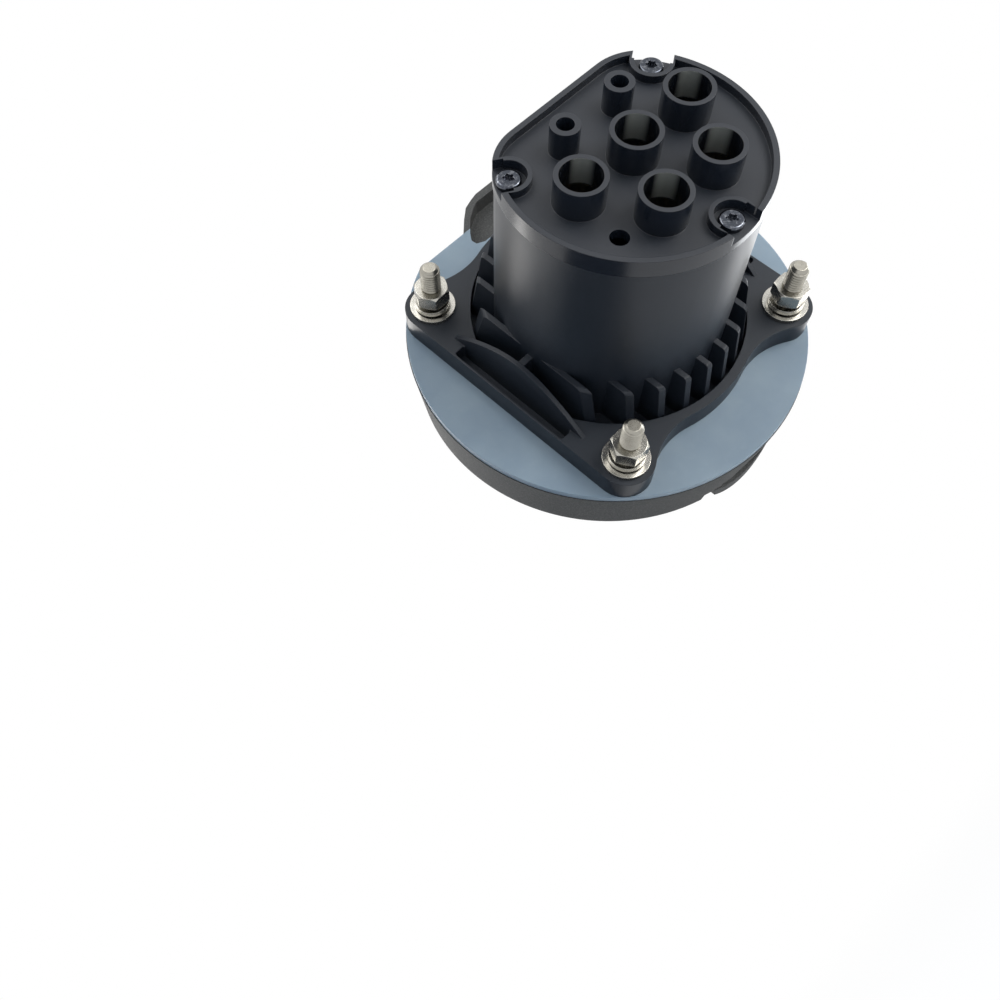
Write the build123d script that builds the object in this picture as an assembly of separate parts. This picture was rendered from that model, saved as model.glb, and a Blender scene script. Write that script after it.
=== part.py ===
"""Panel-mounted charging socket outlet with a sprung flip lid, standing upright in its panel.

Millimetres. +X is to the right seen from the front, the lid faces -Y and +Z is up.
The origin is on the socket's axis, in the panel plane at the rear face of the gasket.
"""
import os
from math import acos, atan2, cos, degrees, hypot, radians, sin, sqrt

from build123d import *

# How far a cutting shape runs past the face that it opens
past = 1.0

# Contact layout
pitch = 17.0
pair_x = pitch / 2
pair_z = -pitch * sin(radians(60))
signal_z = 11.85

# Contact carrier, the insert that the plug closes round
insert_rim = 5.6
insert_top = 3.45
insert_front_y = -3.0
insert_edge = 0.6
groove_wide = 4.8
groove_over_flat = 4.4
carrier_seat_y = 32.0
carrier_thick = 8.0
carrier_play = 0.1
entry_r = 3.4
entry_deep = 2.5
signal_entry_r = 1.8

# Contacts
contact_r = 4.2
contact_bore_r = 3.02
contact_set_back = 4.0
contact_bore_long = 27.0
contact_collar_r = 5.2
collar_long = 2.0
crimp_r = 4.1
crimp_bore_r = 3.1
crimp_long = 9.0
signal_r = 2.2
signal_bore_r = 1.52
signal_collar_r = 3.0
signal_crimp_r = 1.75
signal_crimp_bore_r = 1.1
contact_play = 0.2
slit_wide = 0.8
slit_long = 19.0

# Barrel of the socket body
barrel_wall = 1.7
cavity_step = 0.6
barrel_corner = 13.5
seam_past_crimp = 1.6

# Fixing plate of the socket body
plate_thick = 6.0
pocket_floor_y = 1.6
pocket_wide = 5.5
plate_rim = 2.4
lobe_r = 7.2
lobe_fillet_r = 20.0
side_gap = 3.3
side_wall = 1.2
channel_edge = 0.6
channel_long = 18.0
channel_round = 0.8
fin_pitch = 6.4
fin_thick = 1.5
fin_root = 0.4
fin_top_y = 15.8
fin_top_wide = 3.6
fin_foot_lap = 0.1
fin_round = 1.0
rib_thick = 1.8
hump_half = 21.5
hump_mid_z = 12.0
hump_mid_y = 11.7
hump_top_y = 14.85

# Fastening studs
stud_x = 31.0
stud_z = 32.4
stud_r = 2.5
thread_half_deep = 0.26
stud_free_long = 7.2
stud_end_bevel = 0.5
stud_hole_play = 0.25
washer_r = 5.8
washer_thick = 1.0
washer_play = 0.2
spring_washer_play = 0.15
spring_washer_out_r = 4.5
spring_washer_thick = 1.25
spring_washer_high = 2.7
spring_washer_turn = 0.955
spring_washer_seat = 0.01
nut_flats = 8.0
nut_high = 4.0
nut_bevel = 0.45

# Rear cover
cover_over = 0.3
cover_floor_thick = 2.5
cover_rim_high = 1.9
cover_rim_wall = 1.3
spigot_long = 2.4
spigot_wall = 1.4
spigot_play = 0.15
spigot_boss_gap = 0.4
tube_r = 5.65
tube_bore_r = 4.55
tube_stand = 5.05
signal_tube_r = 3.3
signal_tube_bore_r = 1.95
signal_tube_stand = 4.7
vent_r = 2.1
vent_inset = 7.37
vent_angle = -33.6

# Cover screws
screw_inset = 2.78
screw_angle = 31.7
screw_low_inset = 3.8
screw_head_r = 2.75
screw_head_high = 1.35
screw_head_round = 0.6
screw_drive_r = 1.35
screw_drive_deep = 0.9
screw_r = 1.5
screw_long = 11.1
screw_seat_deep = 0.5
screw_hole_play = 0.15
screw_ring_r = 5.0
screw_sink_r = 3.95
screw_notch_half = 4.55
screw_boss_r = 3.4
screw_boss_long = 11.1

# Panel gasket
gasket_thick = 1.65
gasket_set_in = 0.2
barrel_play = 0.3
stud_gasket_play = 0.1

# Front bezel
bezel_front_y = -17.5
stud_to_bezel_edge = 7.56
bezel_taper = 2.2
bezel_edge_round = 1.2
bezel_flat_drop = 4.8
rim_wall = 2.2
rim_wide = 3.0
mouth_bevel_wide = 0.9
mouth_bevel_deep = 2.2
bezel_floor_thick = 4.35
collar_wall = 2.8
stud_boss_r = 4.6
stud_boss_gap = 1.9
stud_boss_skin = 2.1

# Finger notch in the bezel
notch_half = 15.4
notch_deep = 4.1
step_half = 10.3
step_deep = 5.4
notch_root = 2.0
notch_long = 12.0
scallop_reach_deep = 11.3
scallop_mark_r = 10.0
scallop_ball_r = 18.0
scallop_inset = 0.9

# Hinge housing: its sloped side as X and height above the bezel's flat, outside and in the rear pocket
hood_left_x = -22.0
hood_high = 7.7
hood_set_back = 0.7
hood_root = 2.6
hood_corner = 2.0
hood_edge_round = 1.0
hood_wall = 2.3
hood_slope = [(-8.0, 7.7), (-5.5, 7.1), (-2.4, 6.1), (1.0, 3.4), (4.7, 0.0), (4.7, -2.6)]
hood_pocket_deep = 4.5
hood_pocket_low = 6.2
hood_pocket_round = 0.8
hood_pocket_toe = (4.9, -3.3)
hood_pocket_slope = [(-6.0, 5.4), (-4.1, 4.5), (-0.7, 2.6), (3.0, -0.9)]
hood_pocket_foot = [(4.7, -5.0), (2.4, -6.2)]
hood_side_wall = 2.4
chamber_wide = 15.0
chamber_behind = 3.3
chamber_low = 4.0

# Lid hinge
pin_in = 4.0
pin_over = 2.7
pin_r = 1.25
pin_play = 0.05
pin_bite_left = 1.3
pin_bite_right = 2.0
knuckle_r = 2.5
knuckle_wide = 3.4
knuckle_play = 0.4
arm_front = 1.3
arm_rear = 1.7
arm_foot = 7.0
arm_sink = 0.6
bar_thick = 1.6
bar_high = 2.0
bar_drop = 4.9
spring_wire_r = 0.4
spring_coil_r = 1.95
spring_turns = 5
spring_end_gap = 0.9
spring_leg = 2.4

# Lid
lid_thick = 3.0
lid_gap = 0.5
lid_hinge_gap = 1.4
lid_edge_round = 0.8
lip_half = 11.6
lip_under_half = 12.4
lip_foot_in = 0.5
lip_high = 3.2
lip_thick = 3.3
lip_proud = 0.6
lip_ramp_long = 19.8
lip_crest_long = 5.8
lip_ramp_step = 0.4
lip_ground = 7.5
seal_wide = 2.4
seal_room = 2.5
seal_gap = 0.2
seal_bevel = 0.7
seal_rib = 1.5
seal_rib_high = 1.2

# Sizes that follow, insert and barrel
insert_r = pitch + insert_rim
insert_flat_z = signal_z + insert_top
cavity_r = insert_r + groove_wide
cavity_flat_z = insert_flat_z + groove_over_flat
barrel_r = cavity_r + cavity_step + barrel_wall
barrel_flat_z = cavity_flat_z + cavity_step + barrel_wall
insert_corner = barrel_corner - (barrel_r - insert_r)
pocket_r = barrel_r + pocket_wide
pocket_half = barrel_r + side_gap
plate_r = pocket_r + plate_rim
plate_half = stud_x + lobe_r
channel_half = plate_half - channel_edge
fin_top_r = barrel_r + fin_top_wide
fin_foot_r = pocket_r + fin_foot_lap
fins_a_side = 2 * int(fin_top_r / fin_pitch)
spigot_inset = barrel_wall + spigot_play

# Sizes that follow, along the axis behind the panel
carrier_rear_y = carrier_seat_y + carrier_thick
collar_rear_y = carrier_rear_y + collar_long
crimp_end_y = collar_rear_y + crimp_long
contact_front_y = insert_front_y + contact_set_back
contact_bore_y = contact_front_y + contact_bore_long
cover_seam_y = crimp_end_y + seam_past_crimp
cover_floor_y = cover_seam_y + cover_floor_thick
cover_rim_y = cover_floor_y + cover_rim_high
tube_end_y = cover_rim_y + tube_stand
signal_tube_end_y = cover_rim_y + signal_tube_stand
screw_seat_y = cover_floor_y - screw_seat_deep
screw_end_y = screw_seat_y - screw_long
screw_boss_y = cover_seam_y - screw_boss_long
washer_top_y = plate_thick + washer_thick
nut_front_y = washer_top_y + spring_washer_high
nut_rear_y = nut_front_y + nut_high
stud_tip_y = nut_rear_y + stud_free_long
thread_mean_r = stud_r - thread_half_deep

# Sizes that follow, bezel and lid
bezel_rear_y = -gasket_thick
bezel_rear_r = hypot(stud_x, stud_z) + stud_to_bezel_edge
bezel_front_r = bezel_rear_r - bezel_taper
bezel_flat_z = bezel_rear_r - bezel_flat_drop
gasket_r = bezel_rear_r - gasket_set_in
recess_r = bezel_front_r - rim_wide
recess_flat_z = bezel_flat_z - rim_wall
recess_floor_y = bezel_rear_y - bezel_floor_thick
collar_r = cavity_r + collar_wall
lid_r = recess_r - lid_gap
lid_flat_z = recess_flat_z - lid_hinge_gap
lid_inner_y = bezel_front_y + lid_thick
lip_r = bezel_front_r + lip_proud
lip_foot_y = bezel_front_y + lip_foot_in
lip_top_y = bezel_front_y - lip_high
collar_front_y = lid_inner_y + seal_room
stud_boss_front_y = lid_inner_y + stud_boss_gap
stud_root_y = stud_boss_front_y + stud_boss_skin
seal_in_r = collar_r - collar_wall / 2 - seal_wide / 2
seal_out_r = seal_in_r + seal_wide
hood_top_z = bezel_flat_z + hood_high
pin_y = bezel_front_y + pin_in
pin_z = bezel_flat_z + pin_over
chamber_left_x = hood_left_x + hood_side_wall
chamber_right_x = chamber_left_x + chamber_wide
chamber_rear_y = pin_y + chamber_behind
pin_left_x = chamber_left_x - pin_bite_left
pin_right_x = chamber_right_x + pin_bite_right

# Shared places in X and Z
stud_spots = [(stud_x, stud_z), (stud_x, -stud_z), (-stud_x, -stud_z), (-stud_x, stud_z)]
screw_far = barrel_r - screw_inset
screw_x = screw_far * cos(radians(screw_angle))
screw_z = screw_far * sin(radians(screw_angle))
screw_spots = [(screw_x, screw_z), (-screw_x, screw_z), (0.0, screw_low_inset - barrel_r)]
power_spots = {
    "contact_pe": (0.0, 0.0),
    "contact_n": (-pitch, 0.0),
    "contact_l1": (pitch, 0.0),
    "contact_l2": (pair_x, pair_z),
    "contact_l3": (-pair_x, pair_z),
}
signal_spots = {
    "contact_cp": (-pair_x, signal_z),
    "contact_pp": (pair_x, signal_z),
}


def at_depth(y):
    """Sketch plane parallel to the panel: sketch x is X and sketch y is Z."""
    return Plane((0, y, 0), x_dir=(1, 0, 0), z_dir=(0, -1, 0))


def slab(outline, y_front, y_rear):
    """Outline in X and Z made solid from y_front back to y_rear."""
    return extrude(at_depth(y_rear) * outline, amount=y_rear - y_front)


def across(outline, x_left, x_right):
    """Outline in Y and Z made solid from x_left to x_right."""
    return extrude(Plane.YZ.offset(x_left) * outline, amount=x_right - x_left)


def turned(outline):
    """Outline of radius and Y turned about the socket's axis."""
    return revolve(Plane.XY * outline, Axis.Y)


def polygon(points):
    """Closed outline through the points."""
    return make_face(Polyline(*points, close=True))


def rounded(outline, radius, *corners):
    """Outline with the corners nearest the given points rounded."""
    picked = []
    for x, y in corners:
        picked.append(min(outline.vertices(), key=lambda v: hypot(v.X - x, v.Y - y)))
    return fillet(picked, radius)


def chord_cut(radius, flat_z):
    """Circle cut off straight along its top."""
    return Circle(radius) - Pos(0, flat_z + radius) * Rectangle(3 * radius, 2 * radius)


def d_outline(radius, flat_z, corner):
    """Circle cut off straight along its top, with its two corners rounded."""
    half = sqrt(radius ** 2 - flat_z ** 2)
    return rounded(chord_cut(radius, flat_z), corner, (half, flat_z), (-half, flat_z))


def barrel_outline(inset):
    """The barrel's outline moved inwards by an inset, or outwards by a negative one."""
    return d_outline(barrel_r - inset, barrel_flat_z - inset, barrel_corner - inset)


def disc_at(x, z, radius):
    """Circle at a place in X and Z."""
    return Pos(x, z) * Circle(radius)


def bored(shape, spots, radius, y_front, y_rear):
    """Shape with a round hole through it at each spot."""
    for x, z in spots:
        shape -= slab(disc_at(x, z, radius), y_front, y_rear)
    return shape


def above_flat(points):
    """Points given as X and height above the bezel's flat, in X and Z."""
    return [(x, bezel_flat_z + high) for x, high in points]


def hood_outline():
    """Outer outline of the hinge housing, square on its left and sloped on its right."""
    left_side = [
        (hood_left_x, bezel_flat_z - hood_root),
        (hood_left_x, hood_top_z - hood_corner),
        (hood_left_x + hood_corner, hood_top_z),
    ]
    return polygon(left_side + above_flat(hood_slope))


def hood_pocket_outline():
    """Rear pocket of the hinge housing, running down into the bezel and the gasket."""
    low = (hood_left_x + hood_wall, bezel_flat_z - hood_pocket_low)
    high = (hood_left_x + hood_wall, hood_top_z - hood_wall)
    slope = above_flat(hood_pocket_slope)
    toe = above_flat([hood_pocket_toe])
    outline = polygon([low, high] + slope + toe + above_flat(hood_pocket_foot))
    return rounded(outline, hood_pocket_round, low, high, toe[0])


def hinge_bore(radius):
    """Circle about the hinge's axis, in Y and Z."""
    return Pos(pin_y, pin_z) * Circle(radius)


def make_front_bezel():
    """Round tapered frame with the lid recess, collar, hinge housing and finger notch."""
    profile = rounded(
        polygon([
            (0, bezel_rear_y),
            (bezel_rear_r, bezel_rear_y),
            (bezel_front_r, bezel_front_y),
            (0, bezel_front_y),
        ]),
        bezel_edge_round,
        (bezel_front_r, bezel_front_y),
    )
    under_flat = chord_cut(2 * bezel_rear_r, bezel_flat_z)
    frame = turned(profile) & slab(under_flat, bezel_front_y - past, past)
    frame -= slab(chord_cut(recess_r, recess_flat_z), bezel_front_y - past, recess_floor_y)
    front = frame.faces().sort_by(Axis.Y)[0]
    mouth = front.inner_wires()[0].edges()
    frame = chamfer(mouth, mouth_bevel_wide, mouth_bevel_deep, reference=front)

    hood = slab(hood_outline(), bezel_front_y + hood_set_back, 0)
    hood = fillet(hood.edges().filter_by(GeomType.LINE).group_by(Axis.Y)[0], hood_edge_round)
    frame += hood - slab(under_flat, bezel_rear_y, past)
    frame -= slab(hood_pocket_outline(), -hood_pocket_deep, past)

    frame += slab(Circle(collar_r), collar_front_y, recess_floor_y)
    for x, z in stud_spots:
        frame += slab(disc_at(x, z, stud_boss_r), stud_boss_front_y, recess_floor_y)
    frame -= slab(barrel_outline(barrel_wall + cavity_step), collar_front_y - past, past)
    frame = bored(frame, stud_spots, thread_mean_r, stud_root_y, past)

    chamber = Box(
        chamber_wide,
        chamber_rear_y - bezel_front_y + past,
        hood_top_z - hood_wall - recess_flat_z + chamber_low,
        align=(Align.MIN, Align.MAX, Align.MAX),
    )
    frame -= Pos(chamber_left_x, chamber_rear_y, hood_top_z - hood_wall) * chamber
    frame -= across(hinge_bore(pin_r), pin_left_x, pin_right_x)

    for half, deep in ((notch_half, notch_deep), (step_half, step_deep)):
        cut = Box(2 * half, deep + past, notch_long, align=(Align.CENTER, Align.MAX, Align.MAX))
        frame -= Pos(0, bezel_front_y + deep, notch_root - recess_r) * cut
    reach = sqrt(scallop_ball_r ** 2 - scallop_mark_r ** 2)
    ball_y = bezel_front_y + scallop_reach_deep - scallop_mark_r
    frame -= Pos(0, ball_y, scallop_inset - bezel_rear_r - reach) * Sphere(scallop_ball_r)
    return frame


def make_panel_gasket():
    """Flat soft ring between bezel and panel, cut out for barrel, studs and hinge housing."""
    outline = chord_cut(gasket_r, bezel_flat_z)
    outline -= barrel_outline(-barrel_play)
    outline -= hood_pocket_outline()
    for x, z in stud_spots:
        outline -= disc_at(x, z, stud_r + stud_gasket_play)
    return slab(outline, bezel_rear_y, 0)


def lip_arch():
    """Cross-section of the finger lip in X and Y."""
    under_foot_y = lip_foot_y + lip_thick
    under_top_y = lip_top_y + lip_thick
    over = ThreePointArc((-lip_half, lip_foot_y), (0, lip_top_y), (lip_half, lip_foot_y))
    under = ThreePointArc((lip_under_half, under_foot_y), (0, under_top_y), (-lip_under_half, under_foot_y))
    right = Line((lip_half, lip_foot_y), (lip_under_half, under_foot_y))
    left = Line((-lip_under_half, under_foot_y), (-lip_half, lip_foot_y))
    return make_face(over + right + under + left)


def make_lid():
    """Flat lid with a finger lip, seal ribs and two hinge arms."""
    plate = slab(chord_cut(lid_r, lid_flat_z), bezel_front_y, lid_inner_y)
    plate = fillet(plate.edges().group_by(Axis.Y)[0], lid_edge_round)

    ramp_z = lip_ramp_long - lip_r
    behind_y = bezel_front_y + lip_ground
    lip = Pos(0, 0, -lip_r - past) * extrude(Plane.XY * lip_arch(), amount=lip_ramp_long + 2 * past)
    ramp = polygon([
        (bezel_front_y + lip_ramp_step, ramp_z),
        (lip_top_y - lip_ramp_step, lip_crest_long - lip_r),
        (lip_top_y - lip_ramp_step, -lip_r - past),
        (behind_y, -lip_r - past),
        (behind_y, ramp_z),
    ])
    lip &= across(ramp, -lip_under_half - past, lip_under_half + past)
    lip &= slab(Circle(lip_r), lip_top_y - past, behind_y)
    under_plate = slab(Circle(lid_r - lid_gap), lid_inner_y, behind_y)
    lid = plate + (lip - under_plate)

    for inner in (seal_in_r - seal_rib, seal_out_r):
        ring = Circle(inner + seal_rib) - Circle(inner)
        lid += slab(ring, lid_inner_y, lid_inner_y + seal_rib_high)

    arm = polygon([
        (pin_y - arm_front, pin_z),
        (pin_y + arm_rear, pin_z),
        (pin_y + arm_rear, lid_flat_z),
        (lid_inner_y + arm_sink, lid_flat_z - arm_foot),
        (lid_inner_y - arm_sink, lid_flat_z - arm_foot),
        (lid_inner_y - arm_sink, lid_flat_z - past),
    ])
    side = arm + hinge_bore(knuckle_r)
    for left in knuckle_lefts():
        lid += across(side, left, left + knuckle_wide)
    first, second = knuckle_lefts()
    bar_long = second + knuckle_wide - first
    bar = Box(bar_long, bar_thick, bar_high, align=(Align.MIN, Align.MAX, Align.CENTER))
    lid += Pos(first, pin_y + arm_rear, pin_z - bar_drop) * bar
    for left in knuckle_lefts():
        lid -= across(hinge_bore(pin_r + pin_play), left - past, left + knuckle_wide + past)
    return lid


def knuckle_lefts():
    """Left faces of the two hinge knuckles."""
    return (chamber_left_x + knuckle_play, chamber_right_x - knuckle_play - knuckle_wide)


def make_lid_seal():
    """Soft ring on the lid's inner face that closes on the collar."""
    nose_y = collar_front_y - seal_gap
    return turned(polygon([
        (seal_in_r, lid_inner_y),
        (seal_out_r, lid_inner_y),
        (seal_out_r, nose_y - seal_bevel),
        (seal_out_r - seal_bevel, nose_y),
        (seal_in_r + seal_bevel, nose_y),
        (seal_in_r, nose_y - seal_bevel),
    ]))


def make_lid_hinge_pin():
    """Plain steel pin across the hinge chamber."""
    return across(hinge_bore(pin_r), pin_left_x, pin_right_x)


def make_lid_spring():
    """Torsion spring on the pin: one end on the housing's rear wall, one on the lid's bar."""
    first, second = knuckle_lefts()
    start = first + knuckle_wide + spring_end_gap
    length = second - spring_end_gap - start
    axis_point = (start, pin_y, pin_z)
    coil_path = Helix(length / spring_turns, length, spring_coil_r, center=axis_point, direction=(1, 0, 0))
    section = Plane(origin=coil_path @ 0, z_dir=coil_path % 0) * Circle(spring_wire_r)
    spring = sweep(section, path=coil_path, is_frenet=True)
    for along, leg in ((0, -1), (1, 1)):
        foot = coil_path @ along
        toward = (coil_path % along) * leg
        spring += extrude(Plane(origin=foot, z_dir=toward) * Circle(spring_wire_r), amount=spring_leg)
    return spring


def plate_outline():
    """Fixing plate: a disc between straight sides, with a lobe round each stud."""
    outline = Circle(plate_r) + Rectangle(2 * plate_half, 2 * stud_z)
    lobe_far = hypot(stud_x, stud_z)
    lobe_angle = atan2(stud_z, stud_x)
    to_centre = plate_r + lobe_fillet_r
    to_lobe = lobe_r + lobe_fillet_r
    spread = acos((to_centre ** 2 + lobe_far ** 2 - to_lobe ** 2) / (2 * to_centre * lobe_far))
    hollow_x = to_centre * cos(lobe_angle + spread)
    hollow_z = to_centre * sin(lobe_angle + spread)
    for side in (-1, 1):
        for up in (-1, 1):
            web = polygon([(0, 0), (side * stud_x, up * stud_z), (side * hollow_x, up * hollow_z)])
            web -= disc_at(side * hollow_x, up * hollow_z, lobe_fillet_r)
            outline += web
            outline += disc_at(side * stud_x, up * stud_z, lobe_r)
    return outline


def make_fins(barrel):
    """Parallel fins above and below the barrel, stepped down to the plate by a slope."""
    foot_y = pocket_floor_y - fin_root
    profile = rounded(
        polygon([(0, foot_y), (fin_foot_r, foot_y), (fin_top_r, fin_top_y), (0, fin_top_y)]),
        fin_round,
        (fin_top_r, fin_top_y),
    )
    strips = None
    for index in range(fins_a_side):
        x = (index - (fins_a_side - 1) / 2) * fin_pitch
        strip = Pos(x, 0) * Rectangle(fin_thick, 3 * fin_foot_r)
        strips = strip if strips is None else strips + strip
    return (slab(strips, foot_y, fin_top_y) & turned(profile)) - barrel


def make_side_walls():
    """Humped walls beside the barrel with a cross rib on the middle line."""
    foot_y = pocket_floor_y - fin_root
    crest = Spline(
        (plate_thick, -hump_half),
        (hump_mid_y, -hump_mid_z),
        (hump_top_y, 0),
        (hump_mid_y, hump_mid_z),
        (plate_thick, hump_half),
    )
    foot = Polyline(
        (plate_thick, hump_half),
        (foot_y, hump_half),
        (foot_y, -hump_half),
        (plate_thick, -hump_half),
    )
    wall = across(make_face(crest + foot), pocket_half, pocket_half + side_wall)
    rib_long = side_gap + barrel_wall / 2
    rib = Box(rib_long, hump_top_y - foot_y, rib_thick, align=(Align.MAX, Align.MAX, Align.CENTER))
    right = wall + Pos(pocket_half + side_wall / 2, hump_top_y - fin_root, 0) * rib
    return right + mirror(right, Plane.YZ)


def make_socket_body():
    """Barrel, fixing plate, cored pockets, fins, side walls and screw bosses in one moulding."""
    barrel = slab(barrel_outline(0), bezel_rear_y, cover_seam_y)
    body = slab(plate_outline(), 0, plate_thick)

    pocket = Circle(pocket_r) & Rectangle(2 * pocket_half, 3 * pocket_r)
    body -= slab(pocket, pocket_floor_y, plate_thick + past)
    channel_in = pocket_half + side_wall
    channel_wide = channel_half - channel_in
    channel = Rectangle(channel_wide, 2 * channel_long)
    channel = fillet(channel.vertices(), min(channel_round, channel_wide / 3))
    for side in (-1, 1):
        middle = side * (channel_half + channel_in) / 2
        body -= slab(Pos(middle, 0) * channel, pocket_floor_y, plate_thick + past)

    body += barrel
    body += make_fins(barrel)
    body += make_side_walls() - barrel
    body -= slab(barrel_outline(barrel_wall + cavity_step), bezel_rear_y - past, cover_seam_y)
    body -= slab(barrel_outline(barrel_wall), carrier_seat_y, cover_seam_y + past)

    inside = slab(barrel_outline(barrel_wall / 2), screw_boss_y, cover_seam_y)
    for x, z in screw_spots:
        body += slab(disc_at(x, z, screw_boss_r), screw_boss_y, cover_seam_y) & inside
    body = bored(body, screw_spots, screw_r, screw_end_y, cover_seam_y + past)
    return bored(body, stud_spots, stud_r + stud_hole_play, -past, plate_thick + past)


def make_contact_carrier():
    """Insert that the plug closes round, on a base disc seated in the barrel."""
    insert = slab(d_outline(insert_r, insert_flat_z, insert_corner), insert_front_y, carrier_seat_y + past)
    insert = chamfer(insert.edges().group_by(Axis.Y)[0], insert_edge)
    carrier = insert + slab(barrel_outline(barrel_wall + carrier_play), carrier_seat_y, carrier_rear_y)
    lip_y = insert_front_y + entry_deep
    power = list(power_spots.values())
    signal = list(signal_spots.values())
    carrier = bored(carrier, power, entry_r, insert_front_y - past, lip_y + past)
    carrier = bored(carrier, power, contact_r + contact_play, lip_y, carrier_rear_y + past)
    carrier = bored(carrier, signal, signal_entry_r, insert_front_y - past, lip_y + past)
    return bored(carrier, signal, signal_r + contact_play, lip_y, carrier_rear_y + past)


def make_contact(outer, bore, collar, crimp, crimp_bore):
    """Turned socket contact: slit spring sleeve, collar and hollow wire end."""
    profile = polygon([
        (bore, contact_front_y),
        (outer, contact_front_y),
        (outer, carrier_rear_y),
        (collar, carrier_rear_y),
        (collar, collar_rear_y),
        (crimp, collar_rear_y),
        (crimp, crimp_end_y),
        (crimp_bore, crimp_end_y),
        (crimp_bore, collar_rear_y),
        (0, collar_rear_y),
        (0, contact_bore_y),
        (bore, contact_bore_y),
    ])
    slit = Box(slit_wide, slit_long + past, 3 * outer, align=(Align.CENTER, Align.MIN, Align.CENTER))
    return turned(profile) - Pos(0, contact_front_y - past, 0) * slit


def make_power_contact():
    """Contact for one of the five wide pins."""
    return make_contact(contact_r, contact_bore_r, contact_collar_r, crimp_r, crimp_bore_r)


def make_signal_contact():
    """Contact for one of the two thin pins."""
    return make_contact(signal_r, signal_bore_r, signal_collar_r, signal_crimp_r, signal_crimp_bore_r)


def make_rear_cover():
    """Rear cover with a raised rim, a tube round each wire end and three sunk screw seats."""
    cover = slab(barrel_outline(-cover_over), cover_seam_y, cover_rim_y)
    sunk = barrel_outline(cover_rim_wall - cover_over)
    spigot = barrel_outline(spigot_inset) - barrel_outline(spigot_inset + spigot_wall)
    for x, z in screw_spots:
        sunk -= disc_at(x, z, screw_ring_r)
        spigot -= disc_at(x, z, screw_boss_r + spigot_boss_gap)
    cover -= slab(sunk, cover_floor_y, cover_rim_y + past)
    cover += slab(spigot, cover_seam_y - spigot_long, cover_seam_y)

    notch = Pos(screw_ring_r, 0) * Rectangle(2 * screw_ring_r, 2 * screw_notch_half)
    for x, z in screw_spots:
        seat = disc_at(x, z, screw_sink_r)
        seat += Pos(x, z) * Rot(0, 0, degrees(atan2(z, x))) * notch
        cover -= slab(seat, screw_seat_y, cover_rim_y + past)
    cover = bored(cover, screw_spots, screw_r + screw_hole_play, cover_seam_y - past, cover_rim_y)

    for x, z in power_spots.values():
        cover += slab(disc_at(x, z, tube_r), collar_rear_y, tube_end_y)
    for x, z in signal_spots.values():
        cover += slab(disc_at(x, z, signal_tube_r), collar_rear_y, signal_tube_end_y)
    cover = bored(cover, power_spots.values(), tube_bore_r, collar_rear_y - past, tube_end_y + past)
    cover = bored(cover, signal_spots.values(), signal_tube_bore_r, collar_rear_y - past, tube_end_y + past)
    vent_far = barrel_r - vent_inset
    vent = Rot(0, 0, vent_angle) * disc_at(vent_far, 0, vent_r)
    return cover - slab(vent, cover_seam_y - past, cover_rim_y)


def six_lobe(radius):
    """Six-lobed recess outline."""
    core = 0.78 * radius
    outline = Circle(core)
    for index in range(6):
        outline += Rot(0, 0, 60 * index) * disc_at(core, 0, radius - core)
    return outline


def make_cover_screw():
    """Pan-headed screw with a six-lobed recess."""
    head_y = screw_seat_y + screw_head_high
    head = polygon([
        (0, screw_seat_y),
        (screw_head_r, screw_seat_y),
        (screw_head_r, head_y),
        (0, head_y),
    ])
    screw = turned(rounded(head, screw_head_round, (screw_head_r, head_y)))
    screw += slab(Circle(screw_r), screw_end_y, screw_seat_y)
    return screw - slab(six_lobe(screw_drive_r), head_y - screw_drive_deep, head_y + past)


def make_stud():
    """Stud at its thread's mean radius as far as the nut, and at its outer radius behind it."""
    return turned(polygon([
        (0, stud_root_y),
        (thread_mean_r, stud_root_y),
        (thread_mean_r, nut_rear_y),
        (stud_r, nut_rear_y),
        (stud_r, stud_tip_y - stud_end_bevel),
        (stud_r - stud_end_bevel, stud_tip_y),
        (0, stud_tip_y),
    ]))


def make_nut():
    """Hexagon nut bevelled on both faces."""
    corner_r = nut_flats / sqrt(3)
    shape = slab(RegularPolygon(corner_r, 6), nut_front_y, nut_rear_y)
    shape &= turned(polygon([
        (0, nut_front_y),
        (nut_flats / 2, nut_front_y),
        (corner_r, nut_front_y + nut_bevel),
        (corner_r, nut_rear_y - nut_bevel),
        (nut_flats / 2, nut_rear_y),
        (0, nut_rear_y),
    ]))
    return shape - slab(Circle(thread_mean_r), nut_front_y - past, nut_rear_y + past)


def make_flat_washer():
    """Plain washer on the fixing plate."""
    ring = Circle(washer_r) - Circle(stud_r + washer_play)
    return slab(ring, plate_thick, washer_top_y)


def make_spring_washer():
    """Split washer sprung open like one turn of a coil, just touching nut and washer."""
    in_r = stud_r + spring_washer_play
    wide = spring_washer_out_r - in_r
    rise = spring_washer_high - spring_washer_thick - 6 * spring_washer_seat
    path = Helix(rise / spring_washer_turn, rise, in_r + wide / 2, direction=(0, 1, 0))
    start = Plane(origin=path @ 0, x_dir=path @ 0, z_dir=path % 0)
    washer = sweep(start * Rectangle(wide, spring_washer_thick), path=path, is_frenet=True)
    low = washer.bounding_box().min.Y
    return Pos(0, washer_top_y + spring_washer_seat - low, 0) * washer


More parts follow.
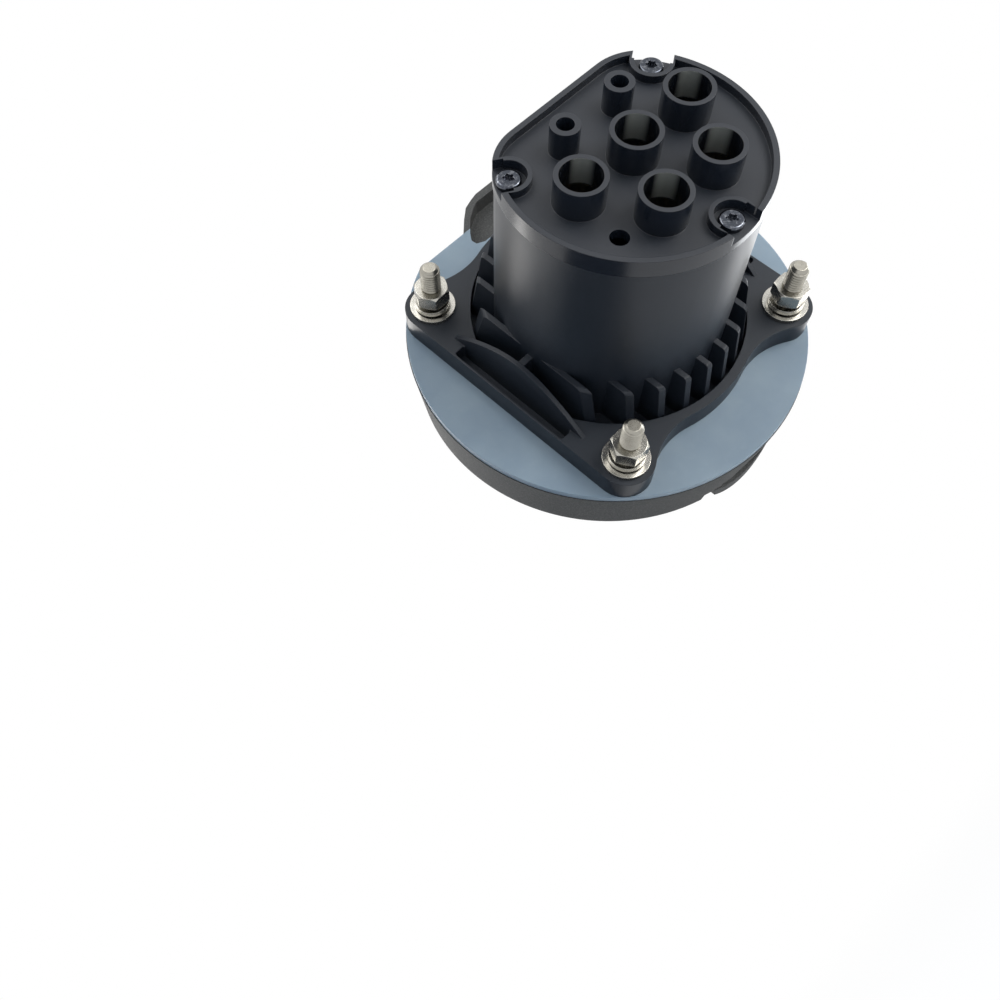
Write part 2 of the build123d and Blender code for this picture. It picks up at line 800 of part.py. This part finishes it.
def main():
    pieces = {
        "front_bezel": make_front_bezel(),
        "panel_gasket": make_panel_gasket(),
        "lid": make_lid(),
        "lid_seal": make_lid_seal(),
        "lid_hinge_pin": make_lid_hinge_pin(),
        "lid_spring": make_lid_spring(),
        "socket_body": make_socket_body(),
        "contact_carrier": make_contact_carrier(),
        "rear_cover": make_rear_cover(),
    }
    power = make_power_contact()
    for name, (x, z) in power_spots.items():
        pieces[name] = Pos(x, 0, z) * power
    signal = make_signal_contact()
    for name, (x, z) in signal_spots.items():
        pieces[name] = Pos(x, 0, z) * signal
    screw = make_cover_screw()
    for name, (x, z) in zip(("cover_screw_right", "cover_screw_left", "cover_screw_low"), screw_spots):
        pieces[name] = Pos(x, 0, z) * screw
    hardware = {
        "stud": make_stud(),
        "nut": make_nut(),
        "flat_washer": make_flat_washer(),
        "spring_washer": make_spring_washer(),
    }
    corners = ("upper_right", "lower_right", "lower_left", "upper_left")
    for kind, shape in hardware.items():
        for corner, (x, z) in zip(corners, stud_spots):
            pieces[kind + "_" + corner] = Pos(x, 0, z) * shape

    os.makedirs("parts", exist_ok=True)
    for name, shape in pieces.items():
        export_step(shape, "parts/" + name + ".step")


main()
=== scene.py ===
import math

import bmesh
import bpy
from mathutils import Matrix, Vector


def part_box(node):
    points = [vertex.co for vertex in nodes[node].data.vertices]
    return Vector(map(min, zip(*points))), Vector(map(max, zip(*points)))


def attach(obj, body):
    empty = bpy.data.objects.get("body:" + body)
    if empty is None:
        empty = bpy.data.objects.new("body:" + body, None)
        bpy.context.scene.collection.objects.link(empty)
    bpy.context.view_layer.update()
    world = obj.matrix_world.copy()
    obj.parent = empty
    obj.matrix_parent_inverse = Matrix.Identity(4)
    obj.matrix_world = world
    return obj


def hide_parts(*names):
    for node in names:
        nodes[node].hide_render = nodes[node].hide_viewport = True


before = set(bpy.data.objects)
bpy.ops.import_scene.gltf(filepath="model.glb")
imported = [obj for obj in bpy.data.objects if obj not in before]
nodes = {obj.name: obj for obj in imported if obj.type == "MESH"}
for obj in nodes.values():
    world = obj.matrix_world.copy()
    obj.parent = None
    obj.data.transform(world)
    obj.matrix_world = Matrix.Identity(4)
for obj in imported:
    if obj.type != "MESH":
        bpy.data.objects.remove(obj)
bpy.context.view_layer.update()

# Sizes are in millimetres unless a name or comment says otherwise; +Y runs back along the barrel.
MM = 0.001

# Wide wire tubes of the rear cover
PITCH = 17.0
ROW_DROP = PITCH * math.sqrt(3) / 2
WIDE_TUBES = [(0, 0), (-PITCH, 0), (PITCH, 0), (PITCH / 2, -ROW_DROP), (-PITCH / 2, -ROW_DROP)]
TUBE_BORE_R = 4.55
# Depths inside the wide tubes: full painted shade below the first, full painted reflection streak
# above the second
PAINTED_SHADE_TOP_Y = 55.3
PAINTED_REFLECTION_LOW_Y = 55.9
# Side of each tube bore that carries the painted reflection streak
PAINTED_REFLECTION_SIDE = (0.797, 0, -0.603)

# Threaded studs
STUD_R = 2.5
SHANK_R = 2.2
NUT_REAR = 13.7
THREAD_START = NUT_REAR + 0.02
SHANK_END = THREAD_START - 0.01
THREAD_PITCH = 0.8
THREAD_DEPTH = 0.46
ROOT_SHARE = 0.14
FLANK_SHARE = 0.68
ROUNDNESS = 0.4
CHAMFER = 0.95
STUD_SIDES = 40
RINGS_PER_TURN = 10
TURN_BETWEEN_STUDS = 0.23

# Studio, in metres and watts
FLOOR_HALF = 3.0
FLOOR_Z = -0.30
WHITE = (1, 1, 1, 1)
WARM = (1.0, 0.98, 0.95)
COOL = (0.94, 0.97, 1.0)
# name, then right, up and towards the camera, then size, power and colour
LAMPS = (
    ("key_lamp", (0.34, 0.31, 0.42), 0.35, 2.6, WARM),
    ("top_lamp", (-0.34, 0.44, 0.28), 0.45, 1.9, WARM),
    ("right_lamp", (0.45, 0.10, -0.25), 0.45, 2.0, COOL),
    ("low_lamp", (0.42, -0.26, 0.08), 0.35, 2.6, COOL),
)
FRONT_LAMP_PLACE = Vector((0.12, -0.62, 0.26))
SOCKET_MIDDLE = Vector((0, 0.02, 0))
BARREL_MIDDLE = Vector((0, 0.05, 0))
CARD_PLACE = (-0.056, -0.144, -0.020)
CARD_HALF_WIDE = 0.060
CARD_HALF_TALL = 0.055


def tone(red, green, blue):
    """Colour of a finish from screen values of 0 to 255."""
    linear = []
    for value in (red, green, blue):
        part = value / 255
        linear.append(part / 12.92 if part <= 0.04045 else ((part + 0.055) / 1.055) ** 2.4)
    return (*linear, 1.0)


class Value:
    """A shader socket that can be used in sums."""

    def __init__(self, shading, socket):
        self.shading = shading
        self.socket = socket

    def sum(self, operation, first, second):
        return self.shading.node("ShaderNodeMath", {"operation": operation}, {0: first, 1: second})

    def __add__(self, other):
        return self.sum("ADD", self, other)

    def __radd__(self, other):
        return self.sum("ADD", other, self)

    def __sub__(self, other):
        return self.sum("SUBTRACT", self, other)

    def __rsub__(self, other):
        return self.sum("SUBTRACT", other, self)

    def __mul__(self, other):
        return self.sum("MULTIPLY", self, other)

    def __rmul__(self, other):
        return self.sum("MULTIPLY", other, self)

    def __truediv__(self, other):
        return self.sum("DIVIDE", self, other)

    def __rtruediv__(self, other):
        return self.sum("DIVIDE", other, self)


class Shading:
    """Tools that build the nodes of a material or of the room."""

    def __init__(self, tree):
        self.tree = tree

    def node(self, kind, settings, sockets, output=0):
        """Adds a node: settings first, then the values or links of its sockets."""
        made = self.tree.nodes.new(kind)
        for name, value in settings.items():
            setattr(made, name, value)
        for name, value in sockets.items():
            self.feed(made.inputs[name], value)
        return Value(self, made.outputs[output])

    def feed(self, socket, value):
        """Links a value to a socket, or sets a plain number or colour."""
        if isinstance(value, Value):
            self.tree.links.new(value.socket, socket)
        else:
            socket.default_value = value

    def band(self, value, start, end):
        """0 below start, 1 above end, smooth between."""
        return self.node(
            "ShaderNodeMapRange", {"interpolation_type": "SMOOTHSTEP", "clamp": True},
            {"Value": value, "From Min": start, "From Max": end},
        )

    def mix(self, amount, first, second):
        """Colour between two colours."""
        return self.node(
            "ShaderNodeMix", {"data_type": "RGBA"}, {0: amount, 6: first, 7: second}, 2
        )

    def ray(self, *kinds):
        """1 for rays of the named kinds, 0 for all others."""
        found = 0.0
        for kind in kinds:
            one = self.node("ShaderNodeLightPath", {}, {}, f"Is {kind} Ray")
            found = self.node("ShaderNodeMath", {"operation": "MAXIMUM"}, {0: found, 1: one})
        return found

    def size_of(self, operation, first, second=None):
        """Number that a Vector Math node finds: a length, a distance or a dot product."""
        sockets = {0: first} if second is None else {0: first, 1: second}
        return self.node("ShaderNodeVectorMath", {"operation": operation}, sockets, "Value")


class Finish(Shading):
    """One material."""

    def __init__(self, name, **fixed):
        """Starts the material; fixed holds the sockets that are the same everywhere."""
        self.material = bpy.data.materials.new(name)
        self.material.use_nodes = True
        super().__init__(self.material.node_tree)
        self.shader = self.tree.nodes["Principled BSDF"]
        self.place = self.node("ShaderNodeTexCoord", {}, {}, "Object")
        for socket, value in fixed.items():
            self.shader.inputs[socket.replace("_", " ")].default_value = value

    def set(self, name, value):
        self.feed(self.shader.inputs[name], value)

    def facing(self, way):
        """1 on faces that look that way, less on faces that look aside."""
        turned = self.node("ShaderNodeTexCoord", {}, {}, "Normal")
        return self.size_of("DOT_PRODUCT", turned, way)

    def wall(self):
        """1 on walls that run along the barrel, 0 on faces that look to the back or front."""
        back = self.facing((0, 1, 0))
        return 1 - self.band(back * back, 0.10, 0.50)

    def along(self):
        """Place along the barrel's axis, in millimetres."""
        return self.node("ShaderNodeSeparateXYZ", {}, {"Vector": self.place}, "Y") / MM

    def in_tubes(self):
        """1 inside the five wide wire tubes, 0 outside them."""
        flat = self.node(
            "ShaderNodeVectorMath", {"operation": "MULTIPLY"}, {0: self.place, 1: (1, 0, 1)}
        )
        nearest = 1.0
        for x, z in WIDE_TUBES:
            reach = self.size_of("DISTANCE", flat, (x * MM, 0, z * MM))
            nearest = self.node("ShaderNodeMath", {"operation": "MINIMUM"}, {0: nearest, 1: reach})
        return self.band(nearest, (TUBE_BORE_R + 0.05) * MM, (TUBE_BORE_R + 0.02) * MM)

    def noise(self, size_mm, detail=2.0, rough=0.5, stretch=(1, 1, 1), shift=0.0):
        """Soft random pattern whose patches are about size_mm across."""
        spread = self.node(
            "ShaderNodeMapping", {"vector_type": "POINT"},
            {"Vector": self.place, "Scale": stretch, "Location": (shift, shift, shift)},
        )
        return self.node(
            "ShaderNodeTexNoise", {},
            {"Vector": spread, "Scale": 1 / (size_mm * MM), "Detail": detail, "Roughness": rough},
        )

    def cells(self, size_mm, shift=0.0):
        """Cell pattern: distance to the nearest of points about size_mm apart."""
        spread = self.node(
            "ShaderNodeMapping", {"vector_type": "POINT"},
            {"Vector": self.place, "Location": (shift, shift, shift)},
        )
        return self.node(
            "ShaderNodeTexVoronoi", {}, {"Vector": spread, "Scale": 1 / (size_mm * MM)}, "Distance"
        )

    def soft_edges(self, radius_mm):
        """Normal that rounds the edges of a moulding."""
        return self.node("ShaderNodeBevel", {"samples": 6}, {"Radius": radius_mm * MM})

    def relief(self, height, depth_mm, strength=1.0, normal=None):
        """Raised or sunk grain."""
        sockets = {"Height": height, "Distance": depth_mm * MM, "Strength": strength}
        if normal is not None:
            sockets["Normal"] = normal
        return self.node("ShaderNodeBump", {}, sockets)


def textured_plastic():
    """Bezel and lid: charcoal moulding with a fine sparked grain."""
    finish = Finish("textured_plastic", Specular_IOR_Level=0.08)
    grain = finish.noise(0.42, detail=3.0, rough=0.6)
    pits = finish.cells(0.55, shift=0.3)
    cloud = finish.noise(14.0)
    base = finish.mix(cloud, tone(69, 70, 70), tone(80, 80, 79))
    base = finish.mix(finish.band(grain, 0.42, 0.68) * 0.28, base, tone(122, 122, 119))
    dust = finish.noise(0.9, detail=4.0, rough=0.7, shift=2.0)
    dust = finish.band(dust, 0.66, 0.80)
    finish.set("Base Color", finish.mix(dust * 0.25, base, tone(128, 127, 122)))
    finish.set("Roughness", 0.66 + grain * 0.16)
    height = grain * 0.7 + pits * 0.5
    finish.set("Normal", finish.relief(height, 0.09, 0.65, finish.soft_edges(0.35)))
    return finish.material


def body_plastic():
    """Socket body: matt charcoal moulding, smoother than the bezel, with satin walls."""
    finish = Finish("body_plastic", Specular_IOR_Level=0.34)
    cloud = finish.noise(22.0, detail=3.0, rough=0.55)
    flow = finish.noise(9.0, stretch=(1, 0.25, 1), shift=1.0)
    base = finish.mix(cloud, tone(21, 27, 36), tone(29, 35, 43))
    finish.set("Base Color", finish.mix(flow * 0.25, base, tone(50, 54, 59)))
    finish.set("Roughness", 0.46 + flow * 0.10 - finish.wall() * 0.12)
    grain = finish.noise(0.35)
    finish.set("Normal", finish.relief(grain, 0.02, 0.30, finish.soft_edges(0.25)))
    return finish.material


def cover_plastic():
    """Rear cover: satin charcoal moulding, glossier on its walls, with painted shade in the wide
    wire tubes and a painted reflection streak on one side of each.
    """
    finish = Finish("cover_plastic", Specular_IOR_Level=0.46)
    cloud = finish.noise(16.0, detail=3.0, rough=0.55)
    base = finish.mix(cloud, tone(22, 27, 35), tone(31, 36, 44))
    speck = finish.noise(0.7, detail=3.0, rough=0.7, shift=5.0)
    speck = finish.band(speck, 0.70, 0.80)
    base = finish.mix(speck * 0.2, base, tone(80, 82, 84))
    bore = finish.in_tubes()
    above_painted_shade = finish.band(finish.along(), PAINTED_SHADE_TOP_Y, PAINTED_REFLECTION_LOW_Y)
    painted_reflection_streak = finish.band(finish.facing(PAINTED_REFLECTION_SIDE), 0.80, 1.0)
    # Painted shade: the wide tube bores darkened to near black
    base = finish.mix(bore * 0.75, base, tone(10, 12, 16))
    # Painted reflection: a pale streak on one side of each bore, above the painted shade depth
    base = finish.mix(bore * above_painted_shade * painted_reflection_streak * 0.85, base, tone(138, 140, 134))
    finish.set("Base Color", base)
    finish.set("Roughness", 0.44 + cloud * 0.10 - finish.wall() * 0.26)
    grain = finish.noise(0.3)
    finish.set("Normal", finish.relief(grain, 0.02, 0.30, finish.soft_edges(0.22)))
    return finish.material


def carrier_plastic():
    """Contact carrier: plain satin black."""
    finish = Finish("carrier_plastic", Specular_IOR_Level=0.35)
    cloud = finish.noise(12.0)
    finish.set("Base Color", finish.mix(cloud, tone(40, 42, 46), tone(50, 52, 56)))
    finish.set("Roughness", 0.42 + cloud * 0.08)
    finish.set("Normal", finish.relief(finish.noise(0.4), 0.02, 0.3, finish.soft_edges(0.25)))
    return finish.material


def gasket_silicone():
    """Panel gasket: waxy blue-grey silicone with a faint haze."""
    finish = Finish("gasket_silicone", Specular_IOR_Level=0.35, Subsurface_Weight=0.25)
    finish.shader.inputs["Subsurface Radius"].default_value = (0.8, 1.0, 1.2)
    finish.shader.inputs["Subsurface Scale"].default_value = 0.001
    haze = finish.noise(19.0, detail=3.0, rough=0.55)
    fine = finish.noise(2.2, detail=4.0, rough=0.6, shift=3.0)
    base = finish.mix(finish.band(haze, 0.2, 0.8), tone(120, 137, 151), tone(134, 150, 161))
    base = finish.mix(finish.band(fine, 0.50, 0.80) * 0.10, base, tone(152, 166, 175))
    finish.set("Base Color", base)
    finish.set("Roughness", 0.46 + fine * 0.14)
    finish.set("Normal", finish.relief(fine, 0.03, 0.4, finish.soft_edges(0.25)))
    return finish.material


def seal_rubber():
    """Lid seal: soft black rubber."""
    finish = Finish("seal_rubber", Specular_IOR_Level=0.25)
    cloud = finish.noise(6.0)
    finish.set("Base Color", finish.mix(cloud, tone(24, 24, 25), tone(32, 32, 33)))
    finish.set("Roughness", 0.62 + cloud * 0.1)
    finish.set("Normal", finish.relief(finish.noise(0.5), 0.02, 0.3))
    return finish.material


def stainless_steel(name, dark, light, dull):
    """Stainless pieces with fine turning marks and a warm tint."""
    finish = Finish(name, Metallic=1.0)
    cloud = finish.noise(2.6, detail=3.0, rough=0.6)
    base = finish.mix(cloud, dark, light)
    grime = finish.noise(1.3, detail=4.0, rough=0.65, shift=4.0)
    grime = finish.band(grime, 0.55, 0.78)
    finish.set("Base Color", finish.mix(grime * 0.4, base, tone(106, 102, 94)))
    marks = finish.noise(0.16, stretch=(1, 6, 1))
    finish.set("Roughness", dull + marks * 0.14 + grime * 0.14)
    finish.set("Normal", finish.relief(marks, 0.012, 0.5, finish.soft_edges(0.16)))
    return finish.material


def black_screw_steel():
    """Cover screws: blackened steel with bright worn highlights."""
    finish = Finish("black_screw_steel", Metallic=1.0)
    wear = finish.band(finish.noise(0.8, detail=3.0, rough=0.6), 0.45, 0.75)
    finish.set("Base Color", finish.mix(wear, tone(76, 80, 88), tone(134, 137, 143)))
    finish.set("Roughness", 0.17 + wear * 0.08)
    finish.set("Normal", finish.relief(finish.noise(0.3), 0.015, 0.4, finish.soft_edges(0.15)))
    return finish.material


def plated_brass():
    """Contacts: brass under a pale plating."""
    finish = Finish("plated_brass", Metallic=1.0)
    cloud = finish.noise(3.0, detail=3.0, rough=0.6)
    finish.set("Base Color", finish.mix(cloud, tone(196, 182, 146), tone(214, 206, 184)))
    finish.set("Roughness", 0.26 + cloud * 0.12)
    finish.set("Normal", finish.relief(finish.noise(0.2, stretch=(1, 8, 1)), 0.01, 0.4))
    return finish.material


def starting(*starts):
    """Names of the CAD nodes that begin in one of these ways."""
    return [name for name in nodes if name.startswith(starts)]


def dress(names, material):
    """Gives CAD nodes a finish."""
    for name in names:
        nodes[name].data.materials.clear()
        nodes[name].data.materials.append(material)


def piece(name, mesh, body, material):
    """Puts a finished mesh in the scene as a piece of its own."""
    made = bpy.data.objects.new(name, mesh)
    bpy.context.scene.collection.objects.link(made)
    mesh.materials.append(material)
    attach(made, body)
    return made


def thread_radius(phase):
    """Radius over one pitch of the thread: rounded root, sloped flanks, flat crest."""
    away = abs(phase % 1.0 - 0.5) * 2
    rise = min(1.0, max(0.0, (away - ROOT_SHARE) / FLANK_SHARE))
    rounded = rise * rise * (3 - 2 * rise)
    eased = ROUNDNESS * rounded + (1 - ROUNDNESS) * rise
    return STUD_R - THREAD_DEPTH * (1 - eased)


def stud_mesh(name, x, z, low_y, high_y, turn_start):
    """Rod with a plain shank in the nut and a chamfered, threaded free end, built ring by ring."""
    long = high_y - THREAD_START
    steps = round(long / THREAD_PITCH * RINGS_PER_TURN)
    rows = [(low_y, SHANK_R), (SHANK_END, SHANK_R)]
    rows += [(THREAD_START + long * step / steps, STUD_R) for step in range(steps + 1)]
    shape = bmesh.new()
    rings = []
    for y, widest in rows:
        limit = min(widest, STUD_R - max(0.0, y - (high_y - CHAMFER)))
        ring = []
        for side in range(STUD_SIDES):
            turn = side / STUD_SIDES
            radius = limit
            if y >= THREAD_START:
                radius = min(limit, thread_radius(y / THREAD_PITCH - turn + turn_start))
            angle = 2 * math.pi * turn
            side_x, side_z = x + radius * math.cos(angle), z + radius * math.sin(angle)
            ring.append(shape.verts.new((side_x * MM, y * MM, side_z * MM)))
        rings.append(ring)
    for lower, upper in zip(rings, rings[1:]):
        for index in range(STUD_SIDES):
            after = (index + 1) % STUD_SIDES
            shape.faces.new((lower[index], upper[index], upper[after], lower[after]))
    shape.faces.new(rings[0])
    shape.faces.new(list(reversed(rings[-1])))
    bmesh.ops.recalc_face_normals(shape, faces=shape.faces)
    mesh = bpy.data.meshes.new(name)
    shape.to_mesh(mesh)
    shape.free()
    for face in mesh.polygons:
        face.use_smooth = len(face.vertices) == 4
    return mesh


def fit_studs(material):
    """The four threaded studs in place of the plain ones."""
    for index, corner in enumerate(("upper_right", "lower_right", "lower_left", "upper_left")):
        node = "stud_" + corner
        name = "threaded_" + node
        first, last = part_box(node)
        middle = (first + last) / 2 / MM
        turn = TURN_BETWEEN_STUDS * index
        mesh = stud_mesh(name, middle.x, middle.z, first.y / MM, last.y / MM, turn)
        made = piece(name, mesh, "housing", material)
        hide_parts(node)


def area_light(name, where, size, power, colour):
    """Soft square lamp aimed at the middle of the socket."""
    data = bpy.data.lights.new(name, "AREA")
    data.shape = "SQUARE"
    data.size = size
    data.energy = power
    data.color = colour
    lamp = bpy.data.objects.new(name, data)
    bpy.context.scene.collection.objects.link(lamp)
    lamp.location = where
    aim = SOCKET_MIDDLE - where
    lamp.rotation_euler = aim.to_track_quat("-Z", "Y").to_euler()


def photo_camera():
    """Camera behind and below the socket; gives its right, its up and the way back to it."""
    right = Vector((-0.696397, -0.015996, -0.717478))
    up = Vector((-0.654267, 0.424968, 0.625569))
    back_way = Vector((0.294899, 0.905067, -0.306413))
    place = Vector((0.132453, 0.203339, -0.087293))
    data = bpy.data.cameras.new("photo_camera")
    data.sensor_width = 36
    data.lens = 34.3856
    data.shift_x = 0.02
    data.shift_y = 0.03
    data.clip_start = 0.005
    camera = bpy.data.objects.new("photo_camera", data)
    bpy.context.scene.collection.objects.link(camera)
    turn = Matrix((right, up, back_way)).transposed().to_4x4()
    camera.matrix_world = Matrix.Translation(place) @ turn
    bpy.context.scene.camera = camera
    return right, up, back_way


def room(up):
    """White room that lights the socket a little less from low in the picture."""
    world = bpy.data.worlds.new("studio")
    bpy.context.scene.world = world
    world.use_nodes = True
    shading = Shading(world.node_tree)
    way = shading.node("ShaderNodeTexCoord", {}, {}, "Generated")
    rise = shading.band(shading.size_of("DOT_PRODUCT", way, tuple(up)), -0.75, 0.45)
    soft = shading.mix(rise, (0.26, 0.30, 0.37, 1), (0.48, 0.53, 0.60, 1))
    shown = shading.mix(shading.ray("Camera", "Glossy", "Transmission"), soft, WHITE)
    shading.feed(world.node_tree.nodes["Background"].inputs["Color"], shown)


def floor_paper():
    """Pale floor that shows white and keeps a faint shadow."""
    finish = Finish("floor_paper", Roughness=0.9)
    finish.set("Base Color", (0.86, 0.86, 0.86, 1))
    far = finish.band(finish.size_of("LENGTH", finish.place), 0.45, 0.9)
    whiteness = finish.ray("Camera", "Glossy", "Transmission") * (0.84 + far * 0.16)
    paper = Value(finish, finish.shader.outputs["BSDF"])
    white = finish.node("ShaderNodeEmission", {}, {"Color": WHITE}, "Emission")
    both = finish.node("ShaderNodeMixShader", {}, {0: whiteness, 1: paper, 2: white}, "Shader")
    finish.feed(finish.tree.nodes["Material Output"].inputs["Surface"], both)
    return finish.material


def flat_sheet(name, middle, across, rise, material):
    """Flat sheet for the studio, from its middle to its sides by two half widths."""
    mesh = bpy.data.meshes.new(name)
    corners = [
        middle - across - rise, middle + across - rise,
        middle + across + rise, middle - across + rise,
    ]
    mesh.from_pydata(corners, [], [(0, 1, 2, 3)])
    mesh.materials.append(material)
    sheet = bpy.data.objects.new(name, mesh)
    bpy.context.scene.collection.objects.link(sheet)
    return sheet


def dark_card(where):
    """Black card that only gloss shows, turned to the barrel, so that it keeps a dark middle."""
    out = (where - BARREL_MIDDLE).normalized()
    across = out.cross(Vector((0, 1, 0))).normalized()
    black = Finish("card_black", Roughness=0.9, Specular_IOR_Level=0.1)
    black.set("Base Color", tone(20, 24, 32))
    rise = across.cross(out)
    card = flat_sheet(
        "dark_card", where, across * CARD_HALF_WIDE, rise * CARD_HALF_TALL, black.material
    )
    card.visible_camera = False
    card.visible_diffuse = False
    card.visible_shadow = False


def studio():
    """Pale floor, white room, camera and soft lamps."""
    floor = flat_sheet(
        "floor", Vector((0, 0, FLOOR_Z)), Vector((FLOOR_HALF, 0, 0)), Vector((0, FLOOR_HALF, 0)),
        floor_paper(),
    )
    right, up, back_way = photo_camera()
    room(up)

    def seen_from_camera(spot):
        return right * spot[0] + up * spot[1] + back_way * spot[2]

    for name, spot, size, power, colour in LAMPS:
        area_light(name, seen_from_camera(spot), size, power, colour)
    dark_card(seen_from_camera(CARD_PLACE))
    area_light("front_lamp", FRONT_LAMP_PLACE, 0.45, 3.0, WARM)


stud_steel = stainless_steel("stud_steel", tone(143, 140, 131), tone(182, 179, 170), 0.22)
nut_steel = stainless_steel("nut_steel", tone(161, 159, 152), tone(206, 204, 196), 0.18)
washer_steel = stainless_steel("washer_steel", tone(168, 166, 159), tone(208, 206, 200), 0.18)
dress(["front_bezel", "lid"], textured_plastic())
dress(["socket_body"], body_plastic())
dress(["rear_cover"], cover_plastic())
dress(["panel_gasket"], gasket_silicone())
dress(["lid_seal"], seal_rubber())
dress(["lid_hinge_pin", "lid_spring"], stud_steel)
dress(starting("cover_screw"), black_screw_steel())
dress(starting("contact_"), plated_brass())
dress(["contact_carrier"], carrier_plastic())  # after the contacts, whose names begin the same
dress(starting("stud_"), stud_steel)
dress(starting("nut_"), nut_steel)
dress(starting("flat_washer_", "spring_washer_"), washer_steel)
fit_studs(stud_steel)
studio()

bpy.context.scene.view_settings.view_transform = "Standard"
